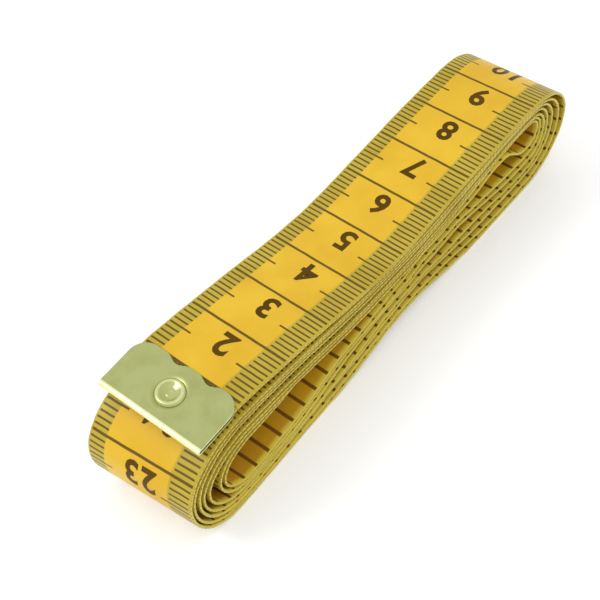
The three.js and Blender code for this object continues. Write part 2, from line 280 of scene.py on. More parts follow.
line = smoothed(rough, reach=(1.0, 3.0, 1.0))
drawn = lengths_along(line)
on_last_run = np.flatnonzero((line[:, 0] > INNER_END_X) & (drawn > drawn[-1] - LAST_RUN))[0]
inner_length = drawn[on_last_run]
counted = (0, TOP_RUN, FIRST_COUNT, STRIP_LENGTH, STRIP_LENGTH + drawn[-1] - inner_length)
line_along = np.interp(drawn, (0, TOP_RUN, FIRST_TURN, inner_length, drawn[-1]), counted)
heading = np.gradient(line[:, [0, 2]], line_along, axis=0)
heading /= np.linalg.norm(heading, axis=1)[:, None]
outward = np.stack([-heading[:, 1], heading[:, 0]], 1)
turning = np.abs(np.gradient(np.unwrap(np.arctan2(heading[:, 1], heading[:, 0])), line_along))
inner_end = [float(np.interp(STRIP_LENGTH, line_along, line[:, axis])) for axis in (0, 2)]
print("the inner tip ends at x, z =", [round(v, 1) for v in inner_end], "mm")
print(f"the drawn line reaches it after {inner_length:.0f} mm, the strip after {STRIP_LENGTH:.0f}")

# %% [markdown]
# The bends don't stand square to the strip: their right side, seen from the tip, lies
# further back at both ends. A small shift lengthwise, in step with the place across the
# strip, turns them so.

# %% Carry points of the flat strip to the coil
FRONT_SKEW, REAR_SKEW = 0.8, 0.45  # of the strip's edges at the bends, either way
FRONT_SKEWED, REAR_SKEWED = (0, 14), (66, 100)  # where the shift fades out and in


def turned_outward(along, directions):
    """Directions given on the flat strip, as they point once it is wound."""
    out_x, out_z = (np.interp(along, line_along, outward[:, axis]) for axis in range(2))
    ahead, across, out = np.moveaxis(np.asarray(directions, float), -1, 0)
    return np.stack([out_z * ahead + out_x * out, across, out_z * out - out_x * ahead], -1)


def on_the_coil(along, across, out):
    """Places in metres, in the part's frame, of points given on the flat strip in mm."""
    along, across, out = np.broadcast_arrays(*(np.asarray(v, float) for v in (along, across, out)))
    middle = np.stack([np.interp(along, line_along, line[:, axis]) for axis in range(3)], -1)
    aside = turned_outward(along, np.stack([0 * out, across, out], -1))
    x = middle[..., 0]
    in_front = (1 - eased(x, *FRONT_SKEWED)) * (along > 2 * STRAIGHT_END)
    skew = FRONT_SKEW * in_front + REAR_SKEW * eased(x, *REAR_SKEWED)
    aside[..., 0] -= skew * across / (STRIP_WIDTH / 2)
    return (middle + aside - ORIGIN) * MM


print("outer tip's front edge:", on_the_coil(0, 0, 0).round(4))

# %% [markdown]
# ## The strip
#
# A thin bar has few faces to shape: a cube is scaled to the strip's section, its long
# edges are bevelled, and cuts divide it into columns and rings. The rings lie close where
# the coil turns sharply and wide apart on the straight runs.

# %% Where the rings lie
RING_SPACING = 2.0
RING_TURN = 0.12  # radians from one ring to the next in a bend
PEEL_BEND = (80.0, 94.0)  # the stretch where the strip would bend if its free end were peeled up
PEEL_SPACING = 0.8


def ring_places(start, end):
    inside = (line_along > start) & (line_along < end)
    along = np.concatenate([[start], line_along[inside], [end]])
    in_peel = (along > PEEL_BEND[0]) & (along < PEEL_BEND[1])
    density = 1 / np.where(in_peel, PEEL_SPACING, RING_SPACING)
    density += np.interp(along, line_along, turning) / RING_TURN
    count = np.concatenate([[0], np.cumsum(np.diff(along) * (density[1:] + density[:-1]) / 2)])
    rings = int(math.ceil(count[-1]))
    return np.interp(np.linspace(0, count[-1], rings + 1), count, along)


print("rings on the whole strip:", len(ring_places(STRIP_INSET, STRIP_LENGTH - STRIP_INSET)))

# %% Make the flat bar
EDGE_ROUNDING = 0.13  # of the strip's long edges
COLUMN_PLACES = (9.05, 5.2, 0.0)  # of the cuts along the strip, each side of its middle


def flat_bar(rings):
    """The strip as a flat bar: x holds the ring's number, y and z are millimetres."""
    bm = bmesh.new()
    bmesh.ops.create_cube(bm, size=1)
    bmesh.ops.scale(bm, vec=(rings, STRIP_WIDTH, STRIP_THICKNESS), verts=bm.verts)
    bmesh.ops.translate(bm, vec=(rings / 2, 0, 0), verts=bm.verts)

    def long_edges():
        return [e for e in bm.edges if abs(e.verts[0].co.x - e.verts[1].co.x) > rings / 2]

    bmesh.ops.bevel(bm, geom=long_edges(), offset=EDGE_ROUNDING, segments=2, profile=0.5,
                    affect="EDGES", material=-1)
    wide = [e for e in bm.edges if abs(e.verts[0].co.y - e.verts[1].co.y) > STRIP_WIDTH / 2]
    cut = bmesh.ops.subdivide_edges(bm, edges=wide, cuts=2 * len(COLUMN_PLACES) - 1)
    places = sorted({-p for p in COLUMN_PLACES} | set(COLUMN_PLACES))
    side = STRIP_WIDTH / 2 - EDGE_ROUNDING
    evenly = np.linspace(-side, side, len(places) + 2)
    for vert in {v for v in cut["geom_inner"] if isinstance(v, bmesh.types.BMVert)}:
        vert.co.y = places[int(np.abs(evenly[1:-1] - vert.co.y).argmin())]
    bmesh.ops.subdivide_edges(bm, edges=long_edges(), cuts=rings - 1)
    return bm


trial = flat_bar(3)
print("faces round one ring:", sum(1 for f in trial.faces if len(f.verts) == 4) // 3)
trial.free()

# %% [markdown]
# ## The numbers
#
# The numbers are printed in ink, so each is a film on the strip: a text object made a mesh,
# turned to read from the side as on the real strip, and cut wherever a ring of the strip
# lies below it, so that it bends where the strip does. The inch scale on the reverse runs
# the other way, from the inner end.

# %% Shapes of the ten digits
DIGIT_HEIGHT, DIGIT_WIDTH = 4.7, 2.9
DIGIT_BOLDNESS = 0.028


def digit_shape(character):
    curve = bpy.data.curves.new("digit", "FONT")
    curve.body = character
    curve.resolution_u = 3
    curve.offset = DIGIT_BOLDNESS
    text = bpy.data.objects.new("digit", curve)
    shape = bpy.data.meshes.new_from_object(text)
    bpy.data.objects.remove(text)
    return shape


def extent(shape):
    corners = np.array([v.co for v in shape.vertices])
    return corners.min(0), corners.max(0)


digits = {character: digit_shape(character) for character in "0123456789"}
low, high = extent(digits["8"])
digit_scale = Vector((DIGIT_WIDTH / (high[0] - low[0]), DIGIT_HEIGHT / (high[1] - low[1]), 1))
for shape in digits.values():
    low, high = extent(shape)
    shape.transform(Matrix.Translation((-(low[0] + high[0]) / 2, 0, 0)))
    shape.transform(Matrix.Diagonal((*digit_scale, 1)))
print("the widest digit:", round(max(extent(s)[1][0] for s in digits.values()) * 2, 2), "mm")

# %% Lay one number flat on the strip
DIGIT_ADVANCE = 3.1
NARROWED = 0.92  # the digits of a number that has two or three
DIGIT_FOOT = 1.35  # from a number's foot to the line that it counts
NUMBER_MIDDLE = -0.2  # a number's middle, off the strip's own
INK_RISE = 0.02  # of the ink film over the strip


def flat_number(text, foot, rings, reverse):
    """A number in the strip's flat places. Its head points to the end its scale starts at."""
    ink = bmesh.new()
    for place, character in enumerate(text):
        sideways = NUMBER_MIDDLE + (place - (len(text) - 1) / 2) * DIGIT_ADVANCE
        shape = digits[character].copy()
        shape.transform(Matrix.Diagonal((NARROWED if len(text) > 1 else 1, 1, 1, 1)))
        turned = Matrix.Rotation(math.pi / 2, 4, "Z")
        if reverse:
            turned = Matrix.Rotation(math.pi, 4, "Y") @ turned
        rise = STRIP_THICKNESS / 2 + INK_RISE
        at = Vector((foot, sideways, -rise if reverse else rise))
        shape.transform(Matrix.Translation(at) @ turned)
        ink.from_mesh(shape)
        bpy.data.meshes.remove(shape)
    for ring in rings[(rings > foot - DIGIT_HEIGHT) & (rings < foot + DIGIT_HEIGHT)]:
        everything = [*ink.verts, *ink.edges, *ink.faces]
        bmesh.ops.bisect_plane(ink, geom=everything, plane_co=(ring, 0, 0), plane_no=(1, 0, 0))
    return ink


trial = flat_number("23", 230 - DIGIT_FOOT, np.arange(200.0, 260.0), reverse=False)
print("23 lies from", [round(min(v.co[i] for v in trial.verts), 1) for i in range(2)],
      "to", [round(max(v.co[i] for v in trial.verts), 1) for i in range(2)])
trial.free()

# %% Which numbers lie on a stretch
INCH = 25.4


def numbers_on(start, end):
    """(text, foot, reverse) of each number that lies wholly between two places."""
    low, high = max(start, TIP_DEPTH), min(end, STRIP_LENGTH - TIP_DEPTH)
    for centimetre in range(1, int(STRIP_LENGTH / 10)):
        foot = 10 * centimetre - DIGIT_FOOT
        if low < foot - DIGIT_HEIGHT and foot < high:
            yield str(centimetre), foot, False
    for inch in range(1, int(STRIP_LENGTH / INCH)):
        foot = STRIP_LENGTH - (INCH * inch - DIGIT_FOOT)
        if low < foot and foot + DIGIT_HEIGHT < high:
            yield str(inch), foot, True


print("numbers on the first 95 mm:", [text for text, _, _ in numbers_on(0, 95)])

# %% [markdown]
# ## Maps
#
# The strip carries two maps. One gives every point its place on the flat strip in
# millimetres, for the printed pattern. The other folds the long strip into rows that fill
# a square, so that a baked picture of it has fine enough dots along its whole length.

# %% Give every face its finish and its maps
PRINTED, REVERSE, EDGE = range(3)
BAND_HEIGHTS = {PRINTED: 19.4, REVERSE: 19.4, EDGE: 1.6}
BAND_STARTS = {PRINTED: 0.0, REVERSE: 19.6, EDGE: 39.2}
ROW_HEIGHT = 41.0


def place_in_band(finish, co):
    """How far up its band a point lies, with a little room left at both sides of it."""
    if finish == EDGE:
        return (0.1 if co.y > 0 else 0.9) + 0.6 * (co.z / STRIP_THICKNESS + 0.5)
    share = co.y / STRIP_WIDTH + 0.5
    return (0.02 + 0.96 * share) * BAND_HEIGHTS[finish]


def map_flat_strip(bm, start, end):
    printed_map = bm.loops.layers.uv.new("strip_mm")
    bake_map = bm.loops.layers.uv.new("OFBake")
    rows = max(1, round(math.sqrt((end - start) / ROW_HEIGHT)))
    row_length = (end - start) / rows
    for face in bm.faces:
        middle = sum(v.co.x for v in face.verts) / len(face.verts)
        row = min(int((middle - start) / row_length), rows - 1)
        finish = face.material_index
        for loop in face.loops:
            co = loop.vert.co
            from_zero = STRIP_LENGTH - co.x if finish == REVERSE else co.x
            loop[printed_map].uv = (from_zero, co.z if finish == EDGE else co.y)
            along = 0.01 + 0.98 * ((co.x - start) / row_length - row)
            up = row * ROW_HEIGHT + BAND_STARTS[finish] + place_in_band(finish, co)
            loop[bake_map].uv = (along, up / (rows * ROW_HEIGHT))


print("rows that a stretch of 1130 mm takes:", round(math.sqrt(1130 / ROW_HEIGHT)))

# %% [markdown]
# ## Winding it
#
# The strip is one piece on the real object. Here it is three meshes that meet edge to
# edge with the same rings: the free end, the rest of the outer turn, and the turns inside
# it, so that a baked picture of each would be fine enough.

# %% Wind one stretch of the strip
FRAY = 0.04  # how far the woven edge strays


def stray_of_edge(along, side):
    return FRAY * (math.sin(along * 2.9 + side) + math.sin(along * 1.13 + 2 * side)) / 2


def wound(name, bm, start, end):
    """Maps a flat piece, winds it onto the coil and makes it an object."""
    map_flat_strip(bm, start, end)
    bm.normal_update()
    flat = np.array([v.co for v in bm.verts])
    shading = turned_outward(flat[:, 0], [v.normal for v in bm.verts])
    for vert, place in zip(bm.verts, on_the_coil(*flat.T)):
        vert.co = place
    for face in bm.faces:
        face.smooth = True
    mesh = bpy.data.meshes.new(name)
    bm.to_mesh(mesh)
    bm.free()
    mesh.normals_split_custom_set_from_vertices(shading.tolist())
    piece = bpy.data.objects.new(name, mesh)
    bpy.context.scene.collection.objects.link(piece)
    return piece


def wound_strip(name, start, end):
    rings = ring_places(start, end)
    last = len(rings) - 1
    bm = flat_bar(last)
    bm.normal_update()
    for face in bm.faces:
        up = face.normal.z
        face.material_index = EDGE if abs(up) < 0.9 else PRINTED if up > 0 else REVERSE
    cut_off = {0: start > STRIP_INSET, last: end < STRIP_LENGTH - STRIP_INSET}
    caps = [f for f in bm.faces if abs(f.normal.x) > 0.9]
    hidden = [f for f in caps if cut_off[round(f.calc_center_median().x)]]
    bmesh.ops.delete(bm, geom=hidden, context="FACES")
    for vert in bm.verts:
        vert.co.x = rings[round(vert.co.x)]
        if abs(vert.co.y) > COLUMN_PLACES[0] + 0.01:
            vert.co.y += stray_of_edge(vert.co.x, math.copysign(1, vert.co.y))
    return wound(name, bm, start, end)


def wound_numbers(name, start, end):
    rings = ring_places(start, end)
    bm = bmesh.new()
    for text, foot, reverse in numbers_on(start, end):
        number = flat_number(text, foot, rings, reverse)
        film = bpy.data.meshes.new("film")
        number.to_mesh(film)
        number.free()
        bm.from_mesh(film)
        bpy.data.meshes.remove(film)
    for face in bm.faces:
        face.material_index = PRINTED if face.calc_center_median().z > 0 else REVERSE
    return wound(name, bm, start, end)


print("the woven edge strays", FRAY, "mm")

# %% Cut the strip in three and wind it
PEEL_ENDS, OUTER_TURN_ENDS = 92.5, 369.5
CUTS = (STRIP_INSET, PEEL_ENDS, OUTER_TURN_ENDS, STRIP_LENGTH - STRIP_INSET)
STRETCHES = ("free_end", "outer_turn", "inner_turns")
stretches = list(zip(STRETCHES, CUTS, CUTS[1:]))
strip = [wound_strip("strip_" + name, *ends) for name, *ends in stretches]
numbers = [wound_numbers("numbers_" + name, *ends) for name, *ends in stretches]
for piece in strip + numbers:
    print(piece.name, len(piece.data.polygons), "faces")

# %% [markdown]
# ## The tips
#
# Each tip is a small blank of brass-plated sheet steel, folded over the strip's end and
# pinched flat by a stamped eyelet. The sheet is modelled as one flat grid that is folded
# by moving its rows, with a Solidify modifier for its gauge and a Bevel for the edges,
# which catch the light in a thin bright line. The fold, the rims and the bevels are also
# given a paler metal, partly wear and partly a painted highlight.

# %% Sizes of a tip
TIP_GAUGE = 0.35
TIP_HALF_WIDTH = 9.8
CORNER_RADIUS = 3.0
FOLD_RADIUS = STRIP_THICKNESS / 2 + 0.02 + TIP_GAUGE / 2
SCALLOP_PLACES, SCALLOP_DEPTH, SCALLOP_HALF_WIDTH = (2.5, -3.7), 0.45, 2.3
SCALLOP_REACH = 2.5  # how far before the back edge the sheet draws in for the scallops
CRIMP_WIDTH, CRIMP_DEPTH = 0.30, 0.10  # of the lip that bites into the strip, painted dark as shade
DISH_PLACE, DISH_RADIUS, DISH_SLOPE, DISH_DEPTH = 5.1, 2.85, 0.85, 0.30
SWELL_HEIGHT, SWELL_PLACE, SWELL_WIDTH = 0.05, 0.1, 0.22  # of the sheet round the dish
WEAR_AND_HIGHLIGHT_DOWN_TO, WEAR_AND_HIGHLIGHT_BACK_TO = -0.25, 0.1  # where the fold is worn and painted pale as a highlight, below and behind it
FOLD_ROWS, FLAT_ROWS, CORNER_ROWS, SHEET_COLUMNS = 12, 34, 14, 98
FOLD_END = FOLD_RADIUS + TIP_GAUGE / 2
print("the fold's outer radius:", FOLD_END, "mm")

# %% Rows of the folded blank
def leaf_rows():
    """Distances of one leaf's rows from the front edge, close together at the corners."""
    corner = TIP_DEPTH - CORNER_RADIUS
    flat = np.linspace(FOLD_END, corner, FLAT_ROWS + 1)
    angle = np.linspace(0, math.pi / 2, CORNER_ROWS + 1)[1:]
    return np.concatenate([flat, corner + CORNER_RADIUS * np.sin(angle)])


def blank_rows():
    """(distance from the front edge, height) of each row, from the lower leaf's back edge."""
    leaf = leaf_rows()
    angle = np.linspace(-math.pi / 2, math.pi / 2, FOLD_ROWS + 1)[1:-1]
    fold = leaf[0] - FOLD_RADIUS * np.cos(angle)
    rows = [(x, -FOLD_RADIUS) for x in leaf[::-1]]
    rows += list(zip(fold, FOLD_RADIUS * np.sin(angle)))
    return rows + [(x, FOLD_RADIUS) for x in leaf]


print(len(blank_rows()), "rows of", SHEET_COLUMNS + 1, "points")

# %% The stamped shape of the sheet
def half_width_at(x):
    past = max(x - (TIP_DEPTH - CORNER_RADIUS), 0)
    rounding = math.sqrt(max(CORNER_RADIUS ** 2 - past ** 2, 0))
    return TIP_HALF_WIDTH - CORNER_RADIUS + rounding if past else TIP_HALF_WIDTH


def scallop_at(y):
    nearest = min(abs(y - place) for place in SCALLOP_PLACES) / SCALLOP_HALF_WIDTH
    return math.cos(nearest * math.pi / 2) ** 2 if nearest < 1 else 0.0


def dish_at(x, y):
    reach = math.hypot(x - DISH_PLACE, y)
    sunk = -DISH_DEPTH * (1 - eased(reach, DISH_RADIUS - DISH_SLOPE, DISH_RADIUS))
    return sunk + SWELL_HEIGHT * math.exp(-((reach - DISH_RADIUS - SWELL_PLACE) / SWELL_WIDTH) ** 2)


def stamped(x, height, y):
    """Moves a point of the folded blank as the press does."""
    scallop = scallop_at(y)
    if height > 0 and x > TIP_GAUGE:
        height += dish_at(x, y) * min(height / FOLD_RADIUS, 1)
        height -= CRIMP_DEPTH * scallop * (x > TIP_DEPTH - CRIMP_WIDTH)
    drawn_in = scallop * eased(x, TIP_DEPTH - SCALLOP_REACH, TIP_DEPTH - CRIMP_WIDTH)
    return x - SCALLOP_DEPTH * drawn_in, y, height


# the tip's finishes: plain plate, a lip painted dark as shade, and a paler metal that is partly
# wear and partly a painted highlight
PLATE, PAINTED_SHADE_LIP, WORN_AND_HIGHLIGHT = range(3)


def finish_of_tip(place):
    scallop = scallop_at(place.y)
    # the lip behind each scallop is painted dark as shade; the fold takes the paler metal, partly
    # wear and partly a painted highlight
    if place.z > 0 and TIP_DEPTH - SCALLOP_DEPTH * scallop - place.x < CRIMP_WIDTH * scallop:
        return PAINTED_SHADE_LIP
    return WORN_AND_HIGHLIGHT if place.z > WEAR_AND_HIGHLIGHT_DOWN_TO and place.x < FOLD_END + WEAR_AND_HIGHLIGHT_BACK_TO else PLATE


print("the dish lies", round(dish_at(DISH_PLACE, 0), 2), "mm deep")

# %% Set pieces on the ends of the strip
def set_on_outer_end(places):
    x, y, out = places.T
    return on_the_coil(x, y + top_side(0, TIP_DEPTH / 2) - top_side(0, x), out)


def set_on_inner_end(places):
    x, y, out = places.T
    return on_the_coil(STRIP_LENGTH - x, y, -out)


print("a point 2 mm behind the inner end:", set_on_inner_end(np.array([[2.0, 0, 0]])).round(4))

# %% Fold a tip
SHEET_ROUNDING, SHARP = 0.09, math.radians(50)  # of the sheet's edges


def finished_piece(name, bm):
    bmesh.ops.recalc_face_normals(bm, faces=bm.faces)
    for face in bm.faces:
        face.smooth = True
    mesh = bpy.data.meshes.new(name)
    bm.to_mesh(mesh)
    bm.free()
    piece = bpy.data.objects.new(name, mesh)
    bpy.context.scene.collection.objects.link(piece)
    return piece


def folded_tip(name, set_on):
    rows = blank_rows()
    bm = bmesh.new()
    bmesh.ops.create_grid(bm, x_segments=len(rows) - 1, y_segments=SHEET_COLUMNS, size=0.5)
    places = []
    for vert in bm.verts:
        x, height = rows[round((vert.co.x + 0.5) * (len(rows) - 1))]
        places.append(stamped(x, height, 2 * vert.co.y * half_width_at(x)))
    for vert, place in zip(bm.verts, places):
        vert.co = place
    for face in bm.faces:
        face.material_index = finish_of_tip(face.calc_center_median())
    for vert, place in zip(bm.verts, set_on(np.array(places))):
        vert.co = place
    piece = finished_piece(name, bm)
    # the cut rims and the bevels take the paler metal: partly wear, partly a painted highlight
    gauge = piece.modifiers.new("gauge", "SOLIDIFY")
    gauge.thickness = TIP_GAUGE * MM
    gauge.offset = 0
    gauge.material_offset_rim = WORN_AND_HIGHLIGHT
    rounding = piece.modifiers.new("rounded edges", "BEVEL")
    rounding.width = SHEET_ROUNDING * MM
    rounding.segments = 2
    rounding.limit_method = "ANGLE"
    rounding.angle_limit = SHARP
    rounding.material = WORN_AND_HIGHLIGHT
    return piece


outer_tip = folded_tip("outer_tip_sheet", set_on_outer_end)
inner_tip = folded_tip("inner_tip_sheet", set_on_inner_end)
tips = (outer_tip, inner_tip)
print("a tip's grid:", len(outer_tip.data.polygons), "faces")

# %% [markdown]
# The eyelet is turned about its own axis, so its half section is drawn once and spun. Its
# rolled rim stands in the dish round a small hollow, and its other end is clinched flat
# against the lower leaf.

# %% Spin the eyelets
RIVET_PLACE = DISH_PLACE
CREST_HIGHLIGHT = (1.6, 2.2)  # inner and outer radius of the rim's crest, given a paler metal: partly wear, partly a painted highlight
LEAF_TOP = FOLD_END
HEAD_SECTION = [  # (radius, height above the upper leaf)
    (0.0, -0.22), (0.30, -0.22), (0.42, -0.15), (0.56, -0.15),
    (0.68, -0.23), (0.90, -0.23), (1.35, 0.0), (1.75, 0.24),
    (1.95, 0.30), (2.15, 0.22), (2.42, -0.04), (2.48, -0.16),
    (2.42, -0.30), (0.9, -0.42),
]
FOOT_SECTION = [  # (radius, depth below the lower leaf)
    (0.9, 0.01), (1.5, 0.01), (1.46, 0.10), (1.2, 0.16), (0.5, 0.12), (0.0, 0.10),
]
RIVET_SECTION = [(radius, LEAF_TOP + height) for radius, height in HEAD_SECTION]
RIVET_SECTION += [(radius, -LEAF_TOP - depth) for radius, depth in FOOT_SECTION]
SPIN_STEPS = 48


def eyelet(name, set_on):
    bm = bmesh.new()
    points = [bm.verts.new((radius, 0, height)) for radius, height in RIVET_SECTION]
    section = [bm.edges.new(pair) for pair in zip(points, points[1:])]
    bmesh.ops.spin(bm, geom=points + section, cent=(0, 0, 0), axis=(0, 0, 1),
                   angle=2 * math.pi, steps=SPIN_STEPS, use_merge=True)
    bmesh.ops.remove_doubles(bm, verts=bm.verts, dist=1e-4)
    for face in bm.faces:
        middle = face.calc_center_median()
        reach = math.hypot(middle.x, middle.y)
        # the crest takes the paler metal, partly wear and partly a painted highlight
        face.material_index = int(middle.z > 0 and CREST_HIGHLIGHT[0] < reach < CREST_HIGHLIGHT[1])
    bmesh.ops.translate(bm, vec=(RIVET_PLACE, 0, 0), verts=bm.verts)
    flat = np.array([v.co for v in bm.verts])
    for vert, place in zip(bm.verts, set_on(flat)):
        vert.co = place
    piece = finished_piece(name, bm)
    smoother = piece.modifiers.new("smooth", "SUBSURF")
    smoother.levels = smoother.render_levels = 1
    return piece


outer_rivet = eyelet("outer_tip_eyelet", set_on_outer_end)
inner_rivet = eyelet("inner_tip_eyelet", set_on_inner_end)
rivets = (outer_rivet, inner_rivet)
print("an eyelet:", len(outer_rivet.data.polygons), "faces")

# %% [markdown]
# ## Materials
#
# Every colour is written as it looks on a screen, and one function turns it to the linear
# numbers that the shader counts with. One more function adds a node. All patterns on the
# strip read its millimetre map, so a mark stays on its place wherever the strip bends.

# %% Two small helpers for materials
def linear(code):
    channels = [int(code[i:i + 2], 16) / 255 for i in (1, 3, 5)]
    return (*[c / 12.92 if c <= 0.04045 else ((c + 0.055) / 1.055) ** 2.4 for c in channels], 1)


def add(material, kind, inputs=(), **settings):
    """Adds a node. inputs maps an input's name or number to a value or to an output."""
    tree = material.node_tree
    node = tree.nodes.new(kind)
    for name, value in settings.items():
        setattr(node, name, value)
    for key, value in dict(inputs).items():
        if isinstance(value, bpy.types.NodeSocket):
            tree.links.new(value, node.inputs[key])
        else:
            node.inputs[key].default_value = value
    return node


def empty_material(name):
    material = bpy.data.materials.new(name)
    material.use_nodes = True
    material.node_tree.nodes.clear()
    return material


print("mid grey in linear light:", round(linear("#808080")[0], 3))

# %% [markdown]
# ### Rows of marks
#
# A printed scale is the same mark over and over. The distance to the nearest multiple of
# the spacing gives every mark of a row at once, and the distance from the strip's edge
# ends them at their length. Half a tenth of a millimetre of softness keeps the print from
# looking cut out with a knife.

# %% One row of printed marks
PRINT_SOFTNESS = 0.05
END_SOFTNESS = 0.08


def marks(material, along, from_edge, spacing, half_width, ends, begins=-1.0):
    """1 on the marks that run from one distance from the strip's edge to another."""
    off_mark = add(material, "ShaderNodeMath", {0: along, 1: spacing / 2}, operation="PINGPONG")
    result = add(material, "ShaderNodeMapRange", {
        "Value": off_mark.outputs[0], "From Min": half_width + PRINT_SOFTNESS,
        "From Max": half_width - PRINT_SOFTNESS}, interpolation_type="SMOOTHSTEP").outputs[0]
    for near, far in ((ends + END_SOFTNESS, ends - END_SOFTNESS),
                      (begins - END_SOFTNESS, begins + END_SOFTNESS)):
        inside = add(material, "ShaderNodeMapRange", {
            "Value": from_edge, "From Min": near, "From Max": far})
        result = add(material, "ShaderNodeMath", {0: result, 1: inside.outputs[0]},
                     operation="MULTIPLY").outputs[0]
    return result


def all_of(material, rows):
    result = rows[0]
    for row in rows[1:]:
        result = add(material, "ShaderNodeMath", {0: result, 1: row},
                     operation="MAXIMUM").outputs[0]
    return result


def mixed(material, share, under, over):
    """One colour over another, by a share from 0 to 1."""
    node = add(material, "ShaderNodeMix", {0: share, 6: under, 7: over}, data_type="RGBA")
    return node.outputs[2]


print("the soft side of a mark:", PRINT_SOFTNESS * 2, "mm wide")

# %% The centimetre scale
BAND_SIDES, BAND_SOFTNESS = (-5.2, 6.5), 0.15
# (spacing, half width, end, begin) of each row of marks, counted from the edge
NEAR_CENTIMETRE_ROWS = ((1, 0.17, 4.0, 0.45), (5, 0.18, 5.6, 0.45), (10, 0.24, 18.7, 0.35))
FAR_CENTIMETRE_ROWS = ((1, 0.17, 3.0, 0.3), (5, 0.18, 4.4, 0.3))


def from_both_edges(material, across):
    half = STRIP_WIDTH / 2
    near = add(material, "ShaderNodeMath", {0: across, 1: half}, operation="ADD").outputs[0]
    far = add(material, "ShaderNodeMath", {0: half, 1: across}, operation="SUBTRACT").outputs[0]
    return near, far


def printed_rows(material, along, near, far, near_rows, far_rows):
    rows = [marks(material, along, near, *row) for row in near_rows]
    return all_of(material, rows + [marks(material, along, far, *row) for row in far_rows])


def centimetre_scale(material, along, across, patches):
    near, far = from_both_edges(material, across)
    in_band = []
    for side, soft in zip(BAND_SIDES, (BAND_SOFTNESS, -BAND_SOFTNESS)):
        in_band.append(add(material, "ShaderNodeMapRange", {
            "Value": across, "From Min": side - soft, "From Max": side + soft}).outputs[0])
    band = add(material, "ShaderNodeMath", {0: in_band[0], 1: in_band[1]}, operation="MULTIPLY")
    margins = mixed(material, patches, linear("#C6B03C"), linear("#B8A030"))
    middle = mixed(material, patches, linear("#EABF2E"), linear("#E0B226"))
    ground = mixed(material, band.outputs[0], margins, middle)
    printed = printed_rows(material, along, near, far, NEAR_CENTIMETRE_ROWS, FAR_CENTIMETRE_ROWS)
    return mixed(material, printed, ground, linear("#66500C"))


print("the orange band is", BAND_SIDES[1] - BAND_SIDES[0], "mm wide")

# %% The inch scale
EIGHTH = INCH / 8
MARGIN, MARGIN_SOFTNESS = 0.75, 0.3  # of plain ground along both edges
SHORT_INCH_ROWS = ((EIGHTH, 0.31, 5.0, 0.25), (4 * EIGHTH, 0.31, 6.5, 0.25))
INCH_LINES = ((INCH, 0.3, 18.8, 0.2),)


def inch_scale(material, along, across, patches):
    near, far = from_both_edges(material, across)
    nearest = add(material, "ShaderNodeMath", {0: near, 1: far}, operation="MINIMUM")
    inside = add(material, "ShaderNodeMapRange", {
        "Value": nearest.outputs[0], "From Min": MARGIN - MARGIN_SOFTNESS,
        "From Max": MARGIN + MARGIN_SOFTNESS}).outputs[0]
    middle = mixed(material, patches, linear("#D6A824"), linear("#C4951C"))
    ground = mixed(material, inside, linear("#E6D04C"), middle)
    near_rows, far_rows = SHORT_INCH_ROWS + INCH_LINES, SHORT_INCH_ROWS
    printed = printed_rows(material, along, near, far, near_rows, far_rows)
    return mixed(material, printed, ground, linear("#74500F"))


print("an eighth of an inch:", EIGHTH, "mm")

# %% [markdown]
# ### The coated cloth
#
# Vinyl-coated glass-fibre cloth: a plain weave of glass threads, two to the millimetre,
# passed through soft vinyl and pressed smooth between rollers. The eye sees a satin
# plastic with the weave just telling through it, and slow patches where the coating is
# thicker. At the cut edges the ends of the threads show, and the ink of the marks runs
# over the rim.

# %% Coated cloth
THREAD_SPACING = 0.5
WEAVE_HEIGHT = 0.008  # how far a thread stands out under the coating
PATCH_SIZE, PATCH_EDGES = 9.0, (0.35, 0.65)  # thick and thin coating, in mm and in noise
PRINT_STRAY, PRINT_STRAY_SIZE = 0.16, 2.5  # how far the print wanders, and over what length
VINYL_IOR, VINYL_ROUGHNESS = 1.53, (0.36, 0.48)
VINYL_GLOSS, INK_GLOSS = 0.22, 0.08  # handled vinyl and ink mirror less than new vinyl's 0.5


